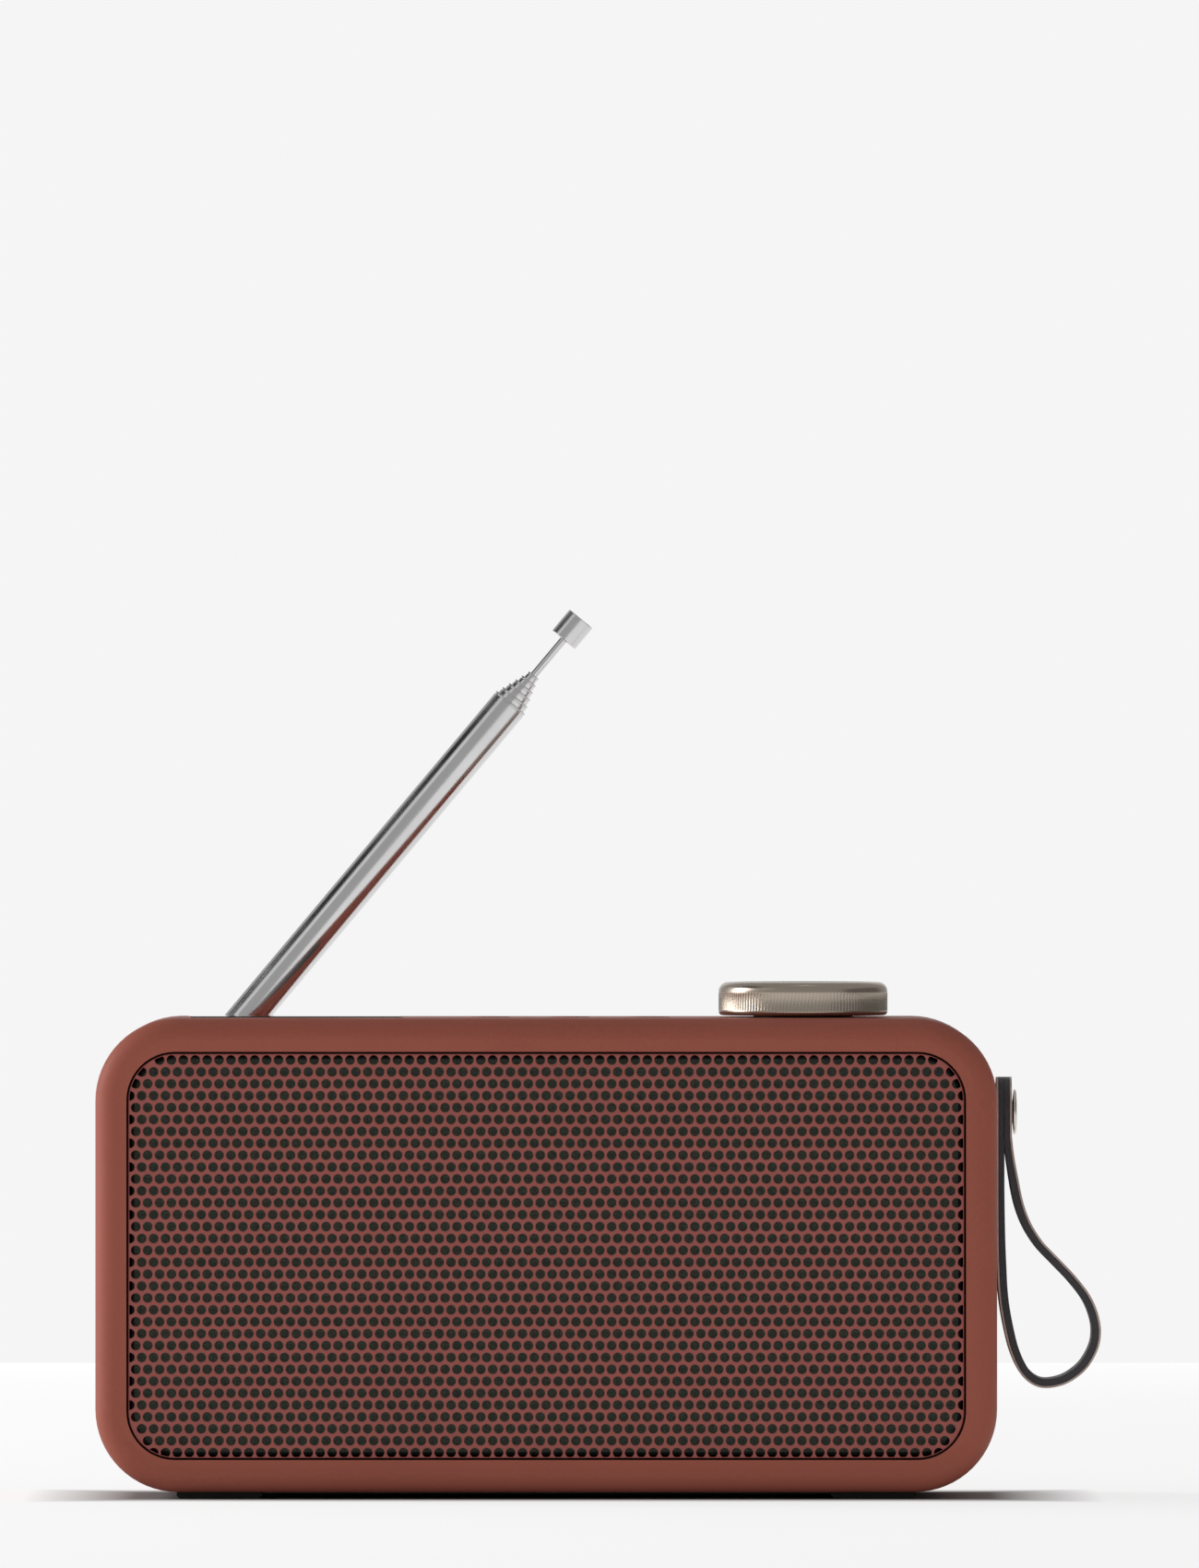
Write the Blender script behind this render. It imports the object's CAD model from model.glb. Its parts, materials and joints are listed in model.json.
import json
import math

import bpy
import numpy as np
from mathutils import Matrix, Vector
from mathutils.geometry import delaunay_2d_cdt


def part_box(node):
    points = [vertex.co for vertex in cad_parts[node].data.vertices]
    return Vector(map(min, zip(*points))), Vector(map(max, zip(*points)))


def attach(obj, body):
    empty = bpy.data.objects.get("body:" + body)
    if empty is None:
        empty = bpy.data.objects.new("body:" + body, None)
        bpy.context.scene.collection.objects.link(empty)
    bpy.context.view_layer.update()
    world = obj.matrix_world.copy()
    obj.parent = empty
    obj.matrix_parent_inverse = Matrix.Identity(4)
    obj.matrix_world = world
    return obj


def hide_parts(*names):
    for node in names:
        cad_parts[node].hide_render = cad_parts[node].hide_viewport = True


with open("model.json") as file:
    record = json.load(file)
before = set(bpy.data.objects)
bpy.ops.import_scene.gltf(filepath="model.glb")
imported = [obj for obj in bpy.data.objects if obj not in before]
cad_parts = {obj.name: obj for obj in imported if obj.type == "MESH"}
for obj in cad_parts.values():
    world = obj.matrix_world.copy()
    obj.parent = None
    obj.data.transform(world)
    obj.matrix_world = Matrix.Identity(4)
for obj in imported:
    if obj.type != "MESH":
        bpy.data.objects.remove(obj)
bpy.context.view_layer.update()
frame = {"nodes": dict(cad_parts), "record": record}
nodes = frame["nodes"]
MM = 0.001


# ---------------------------------------------------------------- materials

def socket(shader, name, value):
    shader.inputs[name].default_value = value


class Look:
    """A node material around one Principled shader, with helpers for its procedural parts."""

    def __init__(self, name, color, rough, metallic=0.0):
        self.mat = bpy.data.materials.new(name)
        self.mat.use_nodes = True
        self.tree = self.mat.node_tree
        self.shader = self.tree.nodes["Principled BSDF"]
        socket(self.shader, "Metallic", metallic)
        socket(self.shader, "Base Color", (*color, 1))
        socket(self.shader, "Roughness", rough)
        self.coords = self.tree.nodes.new("ShaderNodeTexCoord").outputs["Object"]
        self.bump_link = None

    def link(self, a, b):
        self.tree.links.new(a, b)

    def place(self, scale, turn=(0, 0, 0), where=None):
        """Object coordinates, or those given, turned and then scaled by a mapping node."""
        node = self.tree.nodes.new("ShaderNodeMapping")
        socket(node, "Scale", scale)
        socket(node, "Rotation", turn)
        self.link(where or self.coords, node.inputs["Vector"])
        return node.outputs["Vector"]

    def noise(self, scale, detail=3.0, rough=0.5, where=None, distortion=0.0):
        node = self.tree.nodes.new("ShaderNodeTexNoise")
        socket(node, "Scale", scale)
        socket(node, "Detail", detail)
        socket(node, "Roughness", rough)
        socket(node, "Distortion", distortion)
        self.link(where or self.coords, node.inputs["Vector"])
        return node.outputs["Fac"]

    def cells(self, scale):
        node = self.tree.nodes.new("ShaderNodeTexVoronoi")
        socket(node, "Scale", scale)
        self.link(self.coords, node.inputs["Vector"])
        return node.outputs["Distance"]

    def span(self, value, a, b, low=0.3, high=0.7):
        """Maps low..high of a value to a..b."""
        node = self.tree.nodes.new("ShaderNodeMapRange")
        socket(node, "From Min", low)
        socket(node, "From Max", high)
        socket(node, "To Min", a)
        socket(node, "To Max", b)
        self.link(value, node.inputs["Value"])
        return node.outputs["Result"]

    def math(self, kind, a, b=0.0):
        node = self.tree.nodes.new("ShaderNodeMath")
        node.operation = kind
        for place, value in zip(node.inputs, (a, b)):
            if isinstance(value, float):
                place.default_value = value
            else:
                self.link(value, place)
        return node.outputs["Value"]

    def mix(self, factor, a, b):
        """Color a where the factor is 0 and b where it is 1; a may be a socket or a color."""
        node = self.tree.nodes.new("ShaderNodeMix")
        node.data_type = "RGBA"
        self.link(factor, node.inputs["Factor"])
        for key, value in (("A", a), ("B", b)):
            place = [i for i in node.inputs if i.name == key and i.type == "RGBA"][0]
            if isinstance(value, tuple):
                place.default_value = (*value, 1)
            else:
                self.link(value, place)
        return [o for o in node.outputs if o.type == "RGBA"][0]

    def paint(self, color):
        self.link(color, self.shader.inputs["Base Color"])

    def shine(self, value):
        self.link(value, self.shader.inputs["Roughness"])

    def bump(self, height, strength, distance):
        """Adds a layer of relief on top of the layers already there."""
        node = self.tree.nodes.new("ShaderNodeBump")
        socket(node, "Strength", strength)
        socket(node, "Distance", distance)
        self.link(height, node.inputs["Height"])
        if self.bump_link is not None:
            self.link(self.bump_link, node.inputs["Normal"])
        self.bump_link = node.outputs["Normal"]
        self.link(self.bump_link, self.shader.inputs["Normal"])

    def edges(self, low, high):
        """Where the surface turns outwards, from 0 to 1."""
        node = self.tree.nodes.new("ShaderNodeNewGeometry")
        return self.span(node.outputs["Pointiness"], 0, 1, low, high)


def tint(color, k):
    return tuple(min(1.0, c * k) for c in color)


def soft_touch(name, color, rough=0.52):
    """Matt lacquer with a fine grain, slightly worn on its outer edges."""
    look = Look(name, color, rough)
    broad = look.noise(14, 4, 0.55)
    fine = look.noise(900, 2, 0.6)
    body = look.mix(look.span(broad, 0, 1), tint(color, 0.94), tint(color, 1.05))
    body = look.mix(look.span(fine, 0, 0.5), body, tint(color, 1.12))
    worn = look.math("MULTIPLY", look.edges(0.52, 0.6), look.span(look.noise(120, 4, 0.7), 0, 0.35))
    look.paint(look.mix(worn, body, tint(color, 1.35)))
    look.shine(look.math("ADD", look.span(look.noise(40, 5, 0.6), rough - 0.05, rough + 0.05),
                         look.span(fine, -0.02, 0.03)))
    look.bump(look.cells(2600), 0.12, 0.00005)
    look.bump(look.noise(1500, 2, 0.5), 0.1, 0.00004)
    return look


def moulded(name, color, rough=0.5, grain=1800):
    """Moulded plastic, rubber, paper or foam."""
    look = Look(name, color, rough)
    broad = look.noise(30, 4, 0.6)
    look.paint(look.mix(look.span(broad, 0, 1), tint(color, 0.85), tint(color, 1.2)))
    look.shine(look.span(look.noise(90, 5, 0.6), rough - 0.07, rough + 0.08))
    look.bump(look.noise(grain, 3, 0.6), 0.2, 0.00005)
    return look


def brushed(name, color, rough, stretch):
    """Metal with fine lines, drawn out along the axes that stretch scales least."""
    look = Look(name, color, rough, 1.0)
    lines = look.noise(60, 5, 0.65, look.place(stretch))
    broad = look.noise(25, 3, 0.6)
    tone = look.mix(look.span(lines, 0, 1), tint(color, 0.9), tint(color, 1.07))
    look.paint(look.mix(look.span(broad, 0, 0.4, 0.4, 0.75), tone, tint(color, 0.8)))
    look.shine(look.math("ADD", look.span(lines, rough - 0.05, rough + 0.07),
                         look.span(look.noise(200, 3, 0.7), -0.02, 0.03)))
    look.bump(lines, 0.08, 0.00004)
    return look


def chrome(name, color, lean):
    """Plated metal with faint scratches along a mast that leans by this many degrees."""
    look = Look(name, color, 0.1, 1.0)
    along_mast = look.place((1, 1, 1), (0, math.radians(lean), 0))
    scratch = look.noise(1, 4, 0.7, look.place((900, 900, 12), where=along_mast))
    smear = look.noise(55, 4, 0.6)
    look.paint(look.mix(look.span(smear, 0, 0.5), color, tint(color, 0.86)))
    look.shine(look.math("ADD", look.span(scratch, 0.1, 0.19), look.span(smear, 0.0, 0.08)))
    look.bump(scratch, 0.05, 0.00002)
    return look


def give(node, look):
    """The CAD node keeps its mesh and shows this material."""
    mesh = nodes[node].data
    mesh.materials.clear()
    mesh.materials.append(look.mat)


BRICK = (0.335, 0.094, 0.064)
GRILLE_PAINT = (0.3, 0.076, 0.062)
KNOB_METAL = (0.44, 0.375, 0.31)
WINDOW_BLACK = (0.005, 0.005, 0.006)

case_look = soft_touch("case_soft_touch", BRICK)
cover_look = soft_touch("cover_soft_touch", tint(BRICK, 0.96), 0.56)
button_look = soft_touch("button_soft_touch", tint(BRICK, 0.92), 0.45)
grille_look = soft_touch("grille_paint", GRILLE_PAINT, 0.42)
socket(grille_look.shader, "Metallic", 0.25)
for look in (case_look, cover_look, button_look):
    socket(look.shader, "Specular IOR Level", 0.15)

cloth_look = Look("grille_cloth_weave", (0.022, 0.027, 0.018), 0.9)
weft = cloth_look.noise(1, 2, 0.5, cloth_look.place((2600, 1, 500)))
warp = cloth_look.noise(1, 2, 0.5, cloth_look.place((500, 1, 2600)))
weave = cloth_look.math("ADD", weft, warp)
thread = cloth_look.span(weave, 0, 1, 0.7, 1.3)
cloth_look.paint(cloth_look.mix(thread, (0.07, 0.082, 0.064), (0.14, 0.16, 0.125)))
cloth_look.shine(cloth_look.span(weft, 0.82, 0.98))
cloth_look.bump(weave, 0.5, 0.0002)

window_look = Look("display_window_gloss", WINDOW_BLACK, 0.06)
dust = window_look.span(window_look.noise(260, 6, 0.75), 0, 0.6, 0.55, 0.9)
window_look.paint(window_look.mix(dust, WINDOW_BLACK, (0.02, 0.02, 0.022)))
window_look.shine(window_look.span(window_look.noise(50, 5, 0.6), 0.04, 0.11))
window_look.bump(window_look.noise(30, 2, 0.4), 0.02, 0.0001)
socket(window_look.shader, "Coat Weight", 0.6)
socket(window_look.shader, "Coat Roughness", 0.03)

knob_look = Look("knob_turned_metal", KNOB_METAL, 0.26, 1.0)
turned = knob_look.noise(1, 3, 0.6, knob_look.place((40, 40, 9000)))
handled = knob_look.span(knob_look.noise(60, 5, 0.65), -0.02, 0.04)
knob_look.paint(knob_look.mix(knob_look.span(turned, 0, 1), tint(KNOB_METAL, 0.94), tint(KNOB_METAL, 1.05)))
knob_look.shine(knob_look.math("ADD", knob_look.span(turned, 0.24, 0.3), handled))
knob_look.bump(turned, 0.06, 0.00003)
hub_look = moulded("knob_neck", (0.05, 0.04, 0.035), 0.45)

aerial_look = chrome("aerial_chrome", (0.73, 0.72, 0.72), -40)
steel_look = brushed("screw_steel", (0.55, 0.55, 0.57), 0.32, stretch=(40, 40, 40))
black_screw_look = brushed("cover_screw_black", (0.05, 0.05, 0.052), 0.4, stretch=(40, 40, 40))
rubber_look = moulded("foot_rubber", (0.024, 0.028, 0.024), 0.75, 1200)
foam_look = moulded("foam", (0.02, 0.02, 0.02), 0.95, 700)
inner_look = moulded("inner_plastic", (0.022, 0.022, 0.024), 0.5)
baffle_look = moulded("baffle_plastic", (0.016, 0.016, 0.017), 0.7, 1000)
basket_look = moulded("basket_paint", (0.03, 0.03, 0.035), 0.38)
ferrite_look = moulded("magnet_ferrite", (0.07, 0.07, 0.075), 0.6, 900)
surround_look = moulded("surround_rubber", (0.012, 0.012, 0.012), 0.6)
cone_look = moulded("cone_paper", (0.03, 0.026, 0.023), 0.88, 600)
panel_look = moulded("display_panel", (0.02, 0.035, 0.032), 0.15)
flex_look = moulded("flex_film", (0.45, 0.2, 0.04), 0.3)
board_look = moulded("board_laminate", (0.012, 0.09, 0.035), 0.32, 500)
tin_look = brushed("tin_can", (0.6, 0.6, 0.62), 0.3, stretch=(40, 3, 3))
cell_look = moulded("cell_wrap", (0.04, 0.12, 0.3), 0.25)
port_look = brushed("port_steel", (0.55, 0.55, 0.57), 0.26, stretch=(3, 60, 3))
jack_look = moulded("port_plastic", (0.012, 0.012, 0.012), 0.42)
wire_look = moulded("wire_sleeve", (0.4, 0.02, 0.015), 0.4)
cap_look = brushed("strap_cap_metal", (0.72, 0.66, 0.58), 0.24, stretch=(3, 40, 40))
brass_look = brushed("boss_brass", (0.6, 0.42, 0.14), 0.3, stretch=(60, 3, 3))

looks = {
    "housing": case_look, "rear_cover": cover_look, "rear_screws": black_screw_look,
    "front_grille": grille_look, "grille_cloth": cloth_look, "baffle": baffle_look,
    "baffle_gasket": foam_look, "left_basket": basket_look, "right_basket": basket_look,
    "left_magnet": ferrite_look, "right_magnet": ferrite_look,
    "left_surround": surround_look, "right_surround": surround_look,
    "left_cone": cone_look, "right_cone": cone_look,
    "left_dust_cap": cone_look, "right_dust_cap": cone_look, "driver_screws": steel_look,
    "display_window": window_look, "display_panel": panel_look, "display_frame": inner_look,
    "display_cable": flex_look, "button_left": button_look, "button_middle": button_look,
    "button_right": button_look, "button_switches": inner_look, "button_board": board_look,
    "board_screws": steel_look, "knob_cap": knob_look, "knob_hub": hub_look,
    "knob_shaft": steel_look, "knob_plunger": inner_look, "encoder_body": inner_look,
    "knob_board": board_look, "main_board": board_look, "tuner_can": tin_look,
    "battery_tray": inner_look, "battery_cells": cell_look, "usb_port": port_look,
    "aux_jack": jack_look, "inner_wiring": wire_look, "antenna_lead": jack_look,
    "foot_front_left": rubber_look, "foot_front_right": rubber_look,
    "foot_rear_left": rubber_look, "foot_rear_right": rubber_look,
    "antenna_turret": aerial_look, "antenna_pin": steel_look, "antenna_screw": steel_look,
    "antenna_root": aerial_look, "antenna_tube": aerial_look,
    "antenna_section_1": aerial_look, "antenna_section_2": aerial_look,
    "antenna_section_3": aerial_look, "antenna_section_4": aerial_look,
    "antenna_section_5": aerial_look, "antenna_rod": aerial_look,
    "strap_screw": cap_look, "strap_boss": brass_look,
}
for name, look in looks.items():
    give(name, look)


# ---------------------------------------------------------------- mesh helpers

def new_piece(name, verts, faces, look, body, smooth=True):
    mesh = bpy.data.meshes.new(name)
    mesh.from_pydata([tuple(v) for v in verts], [], faces)
    mesh.validate()
    mesh.update()
    if smooth:
        mesh.polygons.foreach_set("use_smooth", [True] * len(mesh.polygons))
    obj = bpy.data.objects.new(name, mesh)
    bpy.context.scene.collection.objects.link(obj)
    mesh.materials.append(look.mat)
    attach(obj, body)
    return obj


def sharp_by_angle(obj, degrees):
    obj.data.set_sharp_from_angle(angle=math.radians(degrees))


def arc(cx, cy, r, start, steps):
    """A quarter circle of points, counter-clockwise from the start angle in degrees."""
    turns = [math.radians(start + 90 * i / steps) for i in range(steps + 1)]
    return [(cx + r * math.cos(a), cy + r * math.sin(a)) for a in turns]


def bridge(rings, m):
    """Quads between each ring of m vertices and the next one."""
    faces = []
    for r in range(rings - 1):
        for i in range(m):
            j = (i + 1) % m
            faces.append((r * m + i, r * m + j, (r + 1) * m + j, (r + 1) * m + i))
    return faces


def revolve(profile, segments, cx=0.0, cy=0.0, z0=0.0, knurl=0.0):
    """Turns (radius, height, share of the knurl's depth) round an upright axis, without caps."""
    verts = []
    for r, z, share in profile:
        for i in range(segments):
            a = 2 * math.pi * i / segments
            groove = share * knurl * (1 if i % 4 in (2, 3) else 0)
            verts.append((cx + (r - groove) * math.cos(a), cy + (r - groove) * math.sin(a), z0 + z))
    return verts, bridge(len(profile), segments)


# ---------------------------------------------------------------- grille

HOLE_PITCH = 2.768 * MM
HOLE_R = 1.15 * MM
HOLE_SIDES = 16
HALF_ROW = 36             # holes counted to each side of the middle before the outline cuts them
TOP_ROW = 1.47 * MM       # from the top edge down to the first row of centres
CUT_HOLE = 0.4            # a hole is left out when its centre is this share of its radius outside
SHEET = 0.8 * MM
SHEET_IN = 0.12 * MM      # the flat sheet stops this far inside the turned edge
CORNER = 10.85 * MM
EDGE = 0.22 * MM          # radius of the turned edge
LIP = 0.24 * MM           # how far the turned edge laps over the sheet
CORNER_STEPS = 14
EDGE_STEPS = 6
MERGE = 1e-7              # points closer than this are joined
SLACK = 1e-6

grille_low, grille_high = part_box("front_grille")
middle_x = (grille_low[0] + grille_high[0]) / 2
front_y = grille_low[1]
top_row = grille_high[2] - TOP_ROW


def round_rect(x0, x1, z0, z1, r):
    points = []
    corners = ((x1 - r, z1 - r), (x0 + r, z1 - r), (x0 + r, z0 + r), (x1 - r, z0 + r))
    for i, (cx, cz) in enumerate(corners):
        points += arc(cx, cz, r, 90 * i, CORNER_STEPS)
    return points


def grille_outline(inset):
    """The front edge of the grille, moved inwards."""
    return round_rect(grille_low[0] + inset, grille_high[0] - inset,
                      grille_low[2] + inset, grille_high[2] - inset, CORNER - inset)


def depth(x, z):
    """Distance inside the outline of the flat sheet; negative outside it."""
    dx = max(grille_low[0] + CORNER - x, x - (grille_high[0] - CORNER))
    dz = max(grille_low[2] + CORNER - z, z - (grille_high[2] - CORNER))
    if dx > 0 and dz > 0:
        return CORNER - SHEET_IN - math.hypot(dx, dz)
    return min(x - grille_low[0], grille_high[0] - x, z - grille_low[2], grille_high[2] - z) - SHEET_IN


def row_shift(row):
    """Every second row is moved by half a pitch."""
    return 0.5 if row % 2 == 0 else 0.0


def hole_rows():
    """For each row, the x of every hole that the outline leaves."""
    rows = {}
    for row in range(int((top_row - grille_low[2]) / HOLE_PITCH) + 1):
        z = top_row - row * HOLE_PITCH
        for i in range(-HALF_ROW, HALF_ROW + 1):
            x = middle_x + (i + row_shift(row)) * HOLE_PITCH
            if grille_low[0] - HOLE_R < x < grille_high[0] + HOLE_R and depth(x, z) >= -HOLE_R * CUT_HOLE:
                rows.setdefault(row, []).append(x)
    return rows


def in_hole(x, z, rows):
    row_place = (top_row - z) / HOLE_PITCH
    for row in (math.floor(row_place), math.ceil(row_place)):
        if row not in rows:
            continue
        hole_z = top_row - row * HOLE_PITCH
        shift = row_shift(row)
        hole_x = middle_x + (round((x - middle_x) / HOLE_PITCH - shift) + shift) * HOLE_PITCH
        near = math.hypot(hole_x - x, hole_z - z) < HOLE_R * math.cos(math.pi / HOLE_SIDES)
        if near and rows[row][0] - SLACK <= hole_x <= rows[row][-1] + SLACK:
            return True
    return False


def grille_sheet():
    """Triangulates the outline with all holes, and gives the result a thickness."""
    rows = hole_rows()
    points = [Vector(p) for p in grille_outline(SHEET_IN)]
    edges = [(i, (i + 1) % len(points)) for i in range(len(points))]
    for row, row_x in rows.items():
        z = top_row - row * HOLE_PITCH
        for x in row_x:
            start = len(points)
            for k in range(HOLE_SIDES):
                a = 2 * math.pi * (k + 0.5) / HOLE_SIDES
                points.append(Vector((x + HOLE_R * math.cos(a), z + HOLE_R * math.sin(a))))
            edges += [(start + k, start + (k + 1) % HOLE_SIDES) for k in range(HOLE_SIDES)]
    found, _, faces, _, _, _ = delaunay_2d_cdt(points, edges, [], 0, MERGE)
    flat = np.array([(v.x, v.y) for v in found])
    tris = np.array([list(f) for f in faces if len(f) == 3])
    keep = [depth(x, z) > 0 and not in_hole(x, z, rows) for x, z in flat[tris].mean(axis=1)]
    tris = tris[np.array(keep)]
    sides = {}
    for t in tris:
        for side in ((t[0], t[1]), (t[1], t[2]), (t[2], t[0])):
            sides[side] = True
    n = len(flat)
    verts = [(x, front_y, z) for x, z in flat] + [(x, front_y + SHEET, z) for x, z in flat]
    faces = [tuple(int(i) for i in t) for t in tris] + [tuple(int(i) + n for i in t[::-1]) for t in tris]
    faces += [(int(b), int(a), int(a) + n, int(b) + n) for a, b in sides if (b, a) not in sides]
    used = sorted({i for f in faces for i in f})
    order = {old: new for new, old in enumerate(used)}
    return [verts[i] for i in used], [tuple(order[i] for i in f) for f in faces]


def grille_edge(back):
    """The turned edge of the grille: a rounded corner from the face back to the baffle."""
    profile = [(LIP, 0.0)]
    for i in range(EDGE_STEPS + 1):
        a = math.radians(90 * i / EDGE_STEPS)
        profile.append((EDGE - EDGE * math.sin(a), EDGE - EDGE * math.cos(a)))
    profile += [(0.0, back - front_y), (SHEET, back - front_y), (SHEET, SHEET)]
    verts = []
    for inset, behind in profile:
        ring = grille_outline(inset)
        verts += [(x, front_y + behind, z) for x, z in ring]
    return verts, bridge(len(profile), len(ring))


verts, faces = grille_sheet()
a, b, c = (Vector(verts[i]) for i in faces[0])
if (b - a).cross(c - a).y > 0:
    faces = [f[::-1] for f in faces]
grille = new_piece("grille_perforated", verts, faces, grille_look, "case", smooth=False)
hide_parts("front_grille")

verts, faces = grille_edge(grille_high[1])
grille_rim = new_piece("grille_rim", verts, faces, grille_look, "case")
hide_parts("front_grille")


# ---------------------------------------------------------------- knob

TEETH = 150
TOOTH_STEPS = 4           # segments round one tooth and its groove
KNURL_DEPTH = 0.12 * MM
SEAT_R = 3.0 * MM         # the hole for the shaft in the knob's underside
SEAT_ROOF = 2.5 * MM      # what stays of the knob above that hole
LOW_ROUND = 0.9 * MM
TOP_ROUND = 2.2 * MM

cap_low, cap_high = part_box("knob_cap")
knob_x = (cap_low[0] + cap_high[0]) / 2
knob_y = (cap_low[1] + cap_high[1]) / 2
KNOB_R = (cap_high[0] - cap_low[0]) / 2
KNOB_H = cap_high[2] - cap_low[2]


def knob_profile():
    """From the hole for the shaft out over the knurled side to the middle of the dished top."""
    profile = [(SEAT_R, KNOB_H - SEAT_ROOF, 0), (SEAT_R, 0.0, 0), (KNOB_R - 1.3 * MM, 0.0, 0)]
    profile += [(r, z, 0) for r, z in arc(KNOB_R - LOW_ROUND, LOW_ROUND, LOW_ROUND, -90, 5)]
    profile += [(KNOB_R, 1.15 * MM, 0), (KNOB_R, 1.3 * MM, 1), (KNOB_R, 5.0 * MM, 1), (KNOB_R, 5.2 * MM, 0)]
    profile += [(r, z, 0) for r, z in arc(KNOB_R - TOP_ROUND, KNOB_H - TOP_ROUND, TOP_ROUND, 0, 8)]
    dish = ((KNOB_R - 3.2 * MM, 0.0), (KNOB_R - 3.5 * MM, 0.15 * MM), (KNOB_R - 3.9 * MM, 0.15 * MM),
            (KNOB_R * 0.5, 0.22 * MM), (0.4 * MM, 0.25 * MM))
    return profile + [(r, KNOB_H - down, 0) for r, down in dish]


profile = knob_profile()
around = TEETH * TOOTH_STEPS
verts, faces = revolve(profile, around, knob_x, knob_y, cap_low[2], KNURL_DEPTH)
faces.append(tuple((len(profile) - 1) * around + i for i in range(around)))
faces.append(tuple(range(around))[::-1])
knob = new_piece("knob_knurled", verts, faces, knob_look, "knob")
sharp_by_angle(knob, 35)
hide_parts("knob_cap")


# ---------------------------------------------------------------- aerial

TUBE_SEGMENTS = 48
NEAR_END = 0.2 * MM
GROOVE = 0.16 * MM        # depth of the groove behind the rolled lip
LIP_BEAD = 0.26 * MM      # radius of the rolled lip
BORE_GAP = 0.05 * MM      # between the lip and the next tube
BORE_SEEN = 1.5 * MM      # how far down the bore is built
ROD_BORE = 0.9 * MM       # radius left for the rod by the narrowest tube

joints = {j["name"]: j for j in frame["record"]["behaviour"]["joints"]}
pivot = Vector(joints["antenna_swivel"]["pos_m"])
along = Vector(joints["section_1_slide"]["axis"]).normalized()
mast_turn = along.to_track_quat("Z", "Y").to_matrix()


def reach(node):
    """The first and last place of a node along the mast, and its outer radius at the last one."""
    obj = nodes[node]
    spots = [obj.matrix_world @ v.co - pivot for v in obj.data.vertices]
    ways = [p.dot(along) for p in spots]
    last = max(ways)
    radii = [(p - along * w).length for p, w in zip(spots, ways) if w > last - NEAR_END]
    return min(ways), last, max(radii)


def lipped_tube(name, node, body, next_radius):
    """A plated tube whose open end is rolled inwards behind a fine groove."""
    start, end, r = reach(node)
    bore = next_radius + BORE_GAP
    profile = [(r, start), (r, end - 0.78 * MM), (r - GROOVE, end - 0.72 * MM),
               (r - GROOVE, end - 0.52 * MM), (r + 0.04 * MM, end - 0.42 * MM)]
    profile += arc(r - 0.22 * MM, end - LIP_BEAD, LIP_BEAD, 0, 5)
    profile += [(bore, end), (bore, end - BORE_SEEN)]
    verts, faces = revolve([(radius, z, 0) for radius, z in profile], TUBE_SEGMENTS)
    verts = [pivot + mast_turn @ Vector(v) for v in verts]
    obj = new_piece(name, verts, faces, aerial_look, body)
    sharp_by_angle(obj, 40)
    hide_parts(node)


tubes = ["antenna_tube"] + ["antenna_section_%d" % i for i in range(1, 6)]
radii = [reach(node)[2] for node in tubes] + [ROD_BORE]
for i, node in enumerate(tubes):
    lipped_tube("aerial_tube_%d" % i, node, "mast" if i == 0 else "section_%d" % i, radii[i + 1])


# ---------------------------------------------------------------- strap

STRAP_T = 1.85 * MM
SKIN = 0.5 * MM           # thickness of the lighter outer skin
LENGTH = 72.9 * MM
OUTREACH = 24.6 * MM      # from the side wall to the outermost point of the loop
PLY_IN = 0.1 * MM + STRAP_T / 2
PLY_OUT = PLY_IN + STRAP_T
PLIES_END = 0.192         # share of the length along which the two plies lie together
STRAIGHT_STEPS = 22
CURVE_STEPS = 8
OPENING_START = 6         # points after the straight part before the plies start to part
OPENING_STEPS = 12        # points over which they part
TIP_HALF = 0.3 * MM       # least half width at the rounded upper end

strap_low, strap_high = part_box("wrist_strap")
side_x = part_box("housing")[1][0]
strap_top = strap_high[2]
HALF_W = (strap_high[1] - strap_low[1]) / 2
screw_z = strap_top - HALF_W

# The middle line of the loop, from the inner ply down and round: share of its span, share of the length.
SHARES = [
    (0, PLIES_END), (0, 0.412), (0.005, 0.576), (0.025, 0.700), (0.074, 0.796),
    (0.145, 0.882), (0.251, 0.947), (0.384, 0.979), (0.530, 0.983), (0.703, 0.966),
    (0.867, 0.925), (0.973, 0.867), (1, 0.815), (0.973, 0.763), (0.894, 0.706),
    (0.747, 0.646), (0.570, 0.588), (0.406, 0.534), (0.282, 0.473), (0.202, 0.407),
    (0.149, 0.329), (0.105, 0.254),
]


def spline(points, steps):
    """A smooth line through the points."""
    out = []
    n = len(points)
    for i in range(n - 1):
        p = [points[max(0, min(n - 1, i + k))] for k in (-1, 0, 1, 2)]
        for s in range(steps):
            t = s / steps
            out.append(tuple(
                0.5 * (2 * p[1][k] + (p[2][k] - p[0][k]) * t
                       + (2 * p[0][k] - 5 * p[1][k] + 4 * p[2][k] - p[3][k]) * t * t
                       + (3 * p[1][k] - p[0][k] - 3 * p[2][k] + p[3][k]) * t ** 3) for k in (0, 1)))
    return out + [points[-1]]


def strap_line():
    """Down the inner ply, round the loop and up the outer ply."""
    loop_span = OUTREACH - STRAP_T / 2 - PLY_IN
    loop = [(PLY_IN + f * loop_span, strap_top - g * LENGTH) for f, g in SHARES]
    loop.append((PLY_OUT, strap_top - PLIES_END * LENGTH))
    drop = PLIES_END * LENGTH
    n = STRAIGHT_STEPS
    inner = [(PLY_IN, strap_top - drop * i / n) for i in range(n)]
    outer = [(PLY_OUT, strap_top - drop * (n - i) / n) for i in range(1, n + 1)]
    return inner + spline(loop, CURVE_STEPS) + outer


line = strap_line()


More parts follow.
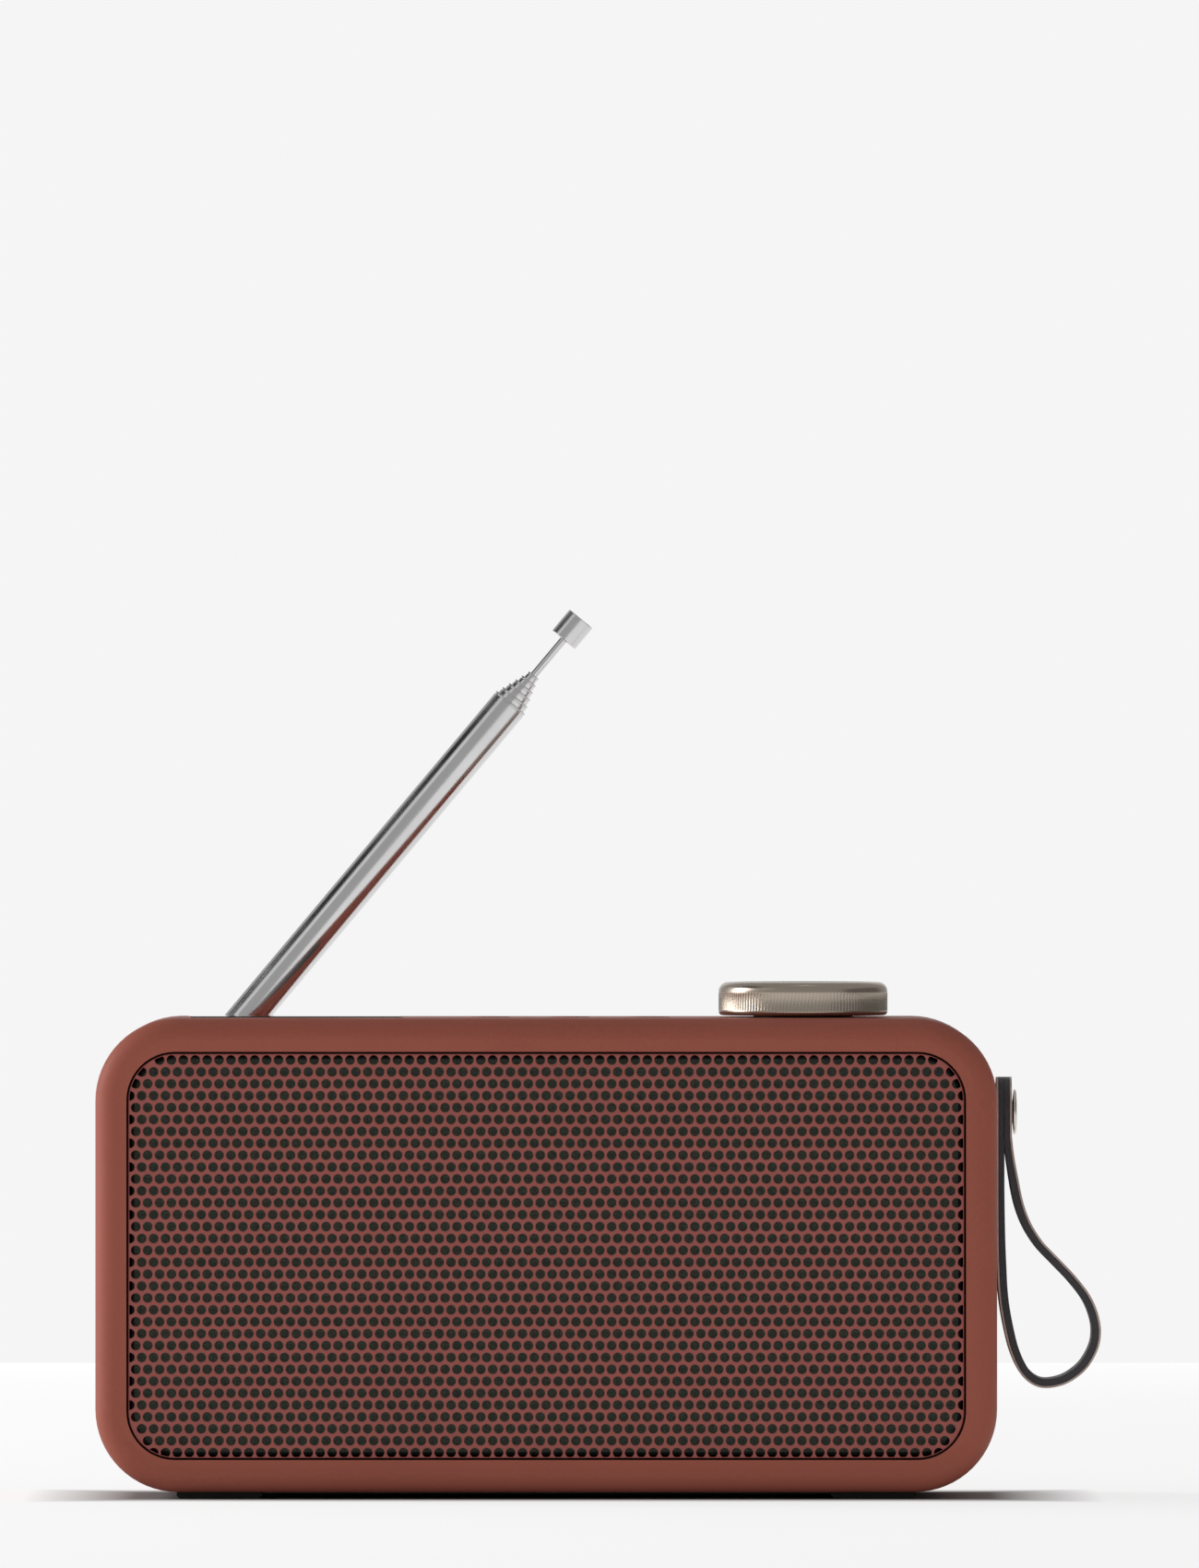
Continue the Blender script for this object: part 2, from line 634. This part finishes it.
def half_width(z):
    """The strap's upper end is round, with the screw at its middle."""
    if z <= screw_z:
        return HALF_W
    return math.sqrt(max(HALF_W ** 2 - (z - screw_z) ** 2, TIP_HALF ** 2))


def loop_share(i):
    """0 where the two plies lie together, 1 in the open loop."""
    first = STRAIGHT_STEPS + OPENING_START
    last = len(line) - 1 - first
    return max(0.0, min(1.0, (i - first) / OPENING_STEPS, (last - i) / OPENING_STEPS))


def band(t0, t1, edge, inside):
    """A band along the strap between two offsets across its thickness, with softened long edges.

    Where inside is 1 the side at t1 is padded by 0.07 mm, and by 0.3 mm more in the open loop.
    """
    across = (-1.0, -0.97, -0.9, -0.6, -0.2, 0.2, 0.6, 0.9, 0.97, 1.0)
    drops = {1.0: edge, 0.97: edge * 0.35}
    m = 2 * len(across)
    verts = []
    for i, (x, z) in enumerate(line):
        a, b = line[max(0, i - 1)], line[min(len(line) - 1, i + 1)]
        dx, dz = b[0] - a[0], b[1] - a[1]
        size = math.hypot(dx, dz) or 1
        nx, nz = -dz / size, dx / size
        share = loop_share(i)
        inner = t1 + inside * (0.07 + 0.3 * share) * MM
        for sign, offset, soft in ((1, inner, share if inside else 0.0), (-1, t0, 1.0)):
            for s in across[::sign]:
                o = offset - sign * soft * drops.get(abs(s), 0)
                verts.append((side_x + x + nx * o, s * half_width(z), z + nz * o))
    faces = bridge(len(line), m)
    faces.append(tuple(range(m))[::-1])
    faces.append(tuple((len(line) - 1) * m + i for i in range(m)))
    return verts, faces


leather_look = Look("strap_leather", (0.03, 0.028, 0.032), 0.5)
pores = leather_look.cells(1500)
folds = leather_look.noise(350, 5, 0.65, distortion=0.6)
crease = leather_look.span(folds, 0, 1)
leather_look.paint(leather_look.mix(crease, (0.02, 0.019, 0.023), (0.046, 0.042, 0.046)))
leather_look.shine(leather_look.span(folds, 0.42, 0.62))
leather_look.bump(pores, 0.35, 0.00012)
leather_look.bump(folds, 0.3, 0.00015)

skin_look = Look("strap_skin", (0.48, 0.37, 0.32), 0.55)
grain = skin_look.noise(500, 5, 0.7)
skin_look.paint(skin_look.mix(skin_look.span(grain, 0, 1), (0.38, 0.29, 0.25), (0.58, 0.46, 0.41)))
skin_look.shine(skin_look.span(skin_look.noise(120, 4, 0.6), 0.45, 0.68))
skin_look.bump(skin_look.cells(1700), 0.3, 0.0001)
skin_look.bump(grain, 0.25, 0.0001)

verts, faces = band(-STRAP_T / 2 + SKIN, STRAP_T / 2, 0.12 * MM, 1)
core = new_piece("strap_core", verts, faces, leather_look, "strap")
verts, faces = band(-STRAP_T / 2, -STRAP_T / 2 + SKIN, 0.1 * MM, 0)
skin = new_piece("strap_outer_skin", verts, faces, skin_look, "strap")
for obj in (core, skin):
    sharp_by_angle(obj, 50)
    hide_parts("wrist_strap")


# ---------------------------------------------------------------- stage

BACKDROP_Y = 1.2
BACKDROP_GLOW = 0.913     # both glows bring the pale ground to the even grey of the photo
FLOOR_GLOW = 0.69
SHADE_SHIFT = 0.004       # the dark patch under the radio lies this far towards the right
SHADE_HALF = (0.1, 0.026)
SHADE_FADE = (0.026, 0.02)


def stage_plane(name, corners, grey, glow=0.0):
    mesh = bpy.data.meshes.new(name)
    mesh.from_pydata(corners, [], [(0, 1, 2, 3)])
    obj = bpy.data.objects.new(name, mesh)
    bpy.context.scene.collection.objects.link(obj)
    look = Look(name, (grey, grey, grey), 0.8)
    socket(look.shader, "Specular IOR Level", 0.0)
    if glow:
        socket(look.shader, "Emission Color", (1, 1, 1, 1))
        socket(look.shader, "Emission Strength", glow)
    mesh.materials.append(look.mat)
    return look


def shade_under(look, middle, half, fade):
    """The floor's own glow fades out under the radio, so that the contact shadow can show."""
    split = look.tree.nodes.new("ShaderNodeSeparateXYZ")
    look.link(look.coords, split.inputs["Vector"])
    away = []
    for axis in (0, 1):
        size = look.math("ABSOLUTE", look.math("SUBTRACT", split.outputs[axis], middle[axis]))
        away.append(look.span(size, 0, 1, half[axis], half[axis] + fade[axis]))
    glow = look.tree.nodes.new("ShaderNodeCombineColor")
    far = look.math("MAXIMUM", *away)
    for channel in glow.inputs[:3]:
        look.link(far, channel)
    look.link(glow.outputs["Color"], look.shader.inputs["Emission Color"])


floor_look = stage_plane("floor", [(-3, -4, 0), (3, -4, 0), (3, BACKDROP_Y, 0), (-3, BACKDROP_Y, 0)],
                         0.4, FLOOR_GLOW)
case_low, case_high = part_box("housing")
shade_middle = ((case_low[0] + case_high[0]) / 2 + SHADE_SHIFT, 0.0)
shade_under(floor_look, shade_middle, SHADE_HALF, SHADE_FADE)
stage_plane("backdrop", [(-0.45, BACKDROP_Y, -0.3), (0.45, BACKDROP_Y, -0.3),
                         (0.45, BACKDROP_Y, 0.7), (-0.45, BACKDROP_Y, 0.7)], 0.0, BACKDROP_GLOW)

# Cards that the metal parts show as dark bands.
stage_plane("dark_card_right", [(1.2, -0.7, 0.0), (1.2, 1.0, 0.0), (1.2, 1.0, 0.8), (1.2, -0.7, 0.8)], 0.22)
stage_plane("dark_card_left", [(-1.3, -0.22, 0.9), (-1.3, 0.85, 0.9),
                               (-0.95, 0.85, 1.4), (-0.95, -0.22, 1.4)], 0.02)

bpy.context.scene.view_settings.view_transform = "Standard"
world = bpy.data.worlds.new("studio")
bpy.context.scene.world = world
world.use_nodes = True
sky = world.node_tree.nodes["Background"]
socket(sky, "Color", (0.5, 0.5, 0.5, 1))
socket(sky, "Strength", 0.84)


def area(name, where, towards, size, power):
    data = bpy.data.lights.new(name, "AREA")
    data.shape = "RECTANGLE"
    data.size, data.size_y = size
    data.energy = power
    obj = bpy.data.objects.new(name, data)
    obj.location = where
    obj.rotation_mode = "QUATERNION"
    obj.rotation_quaternion = (Vector(towards) - Vector(where)).to_track_quat("-Z", "Y")
    bpy.context.scene.collection.objects.link(obj)


area("key_left", (-1.5, 0.33, 0.45), (0, 0, 0.08), (0.8, 0.9), 13)
area("left_broad", (-2.2, 0.25, 1.25), (0, 0, 0.06), (0.9, 0.8), 10)
area("upper_left", (-1.4, -0.85, 1.25), (0, 0, 0.1), (0.5, 0.5), 0.3)
area("top_soft", (0.1, 0.0, 2.4), (0, 0, 0), (0.4, 0.3), 0.35)


# ---------------------------------------------------------------- camera

LENS = 513.2              # a long lens seen from far away, as the photo shows hardly any perspective
DISTANCE = 5.2            # from the front of the housing
EYE_X = 0.0001
EYE_Z = 0.1665

cam_data = bpy.data.cameras.new("camera")
cam_data.lens = LENS
cam_data.sensor_width = 36
cam_data.clip_start = 0.1
cam_data.clip_end = 60
camera = bpy.data.objects.new("camera", cam_data)
camera.location = (EYE_X, case_low[1] - DISTANCE, EYE_Z)
camera.rotation_euler = (math.radians(90), 0, 0)
bpy.context.scene.collection.objects.link(camera)
bpy.context.scene.camera = camera
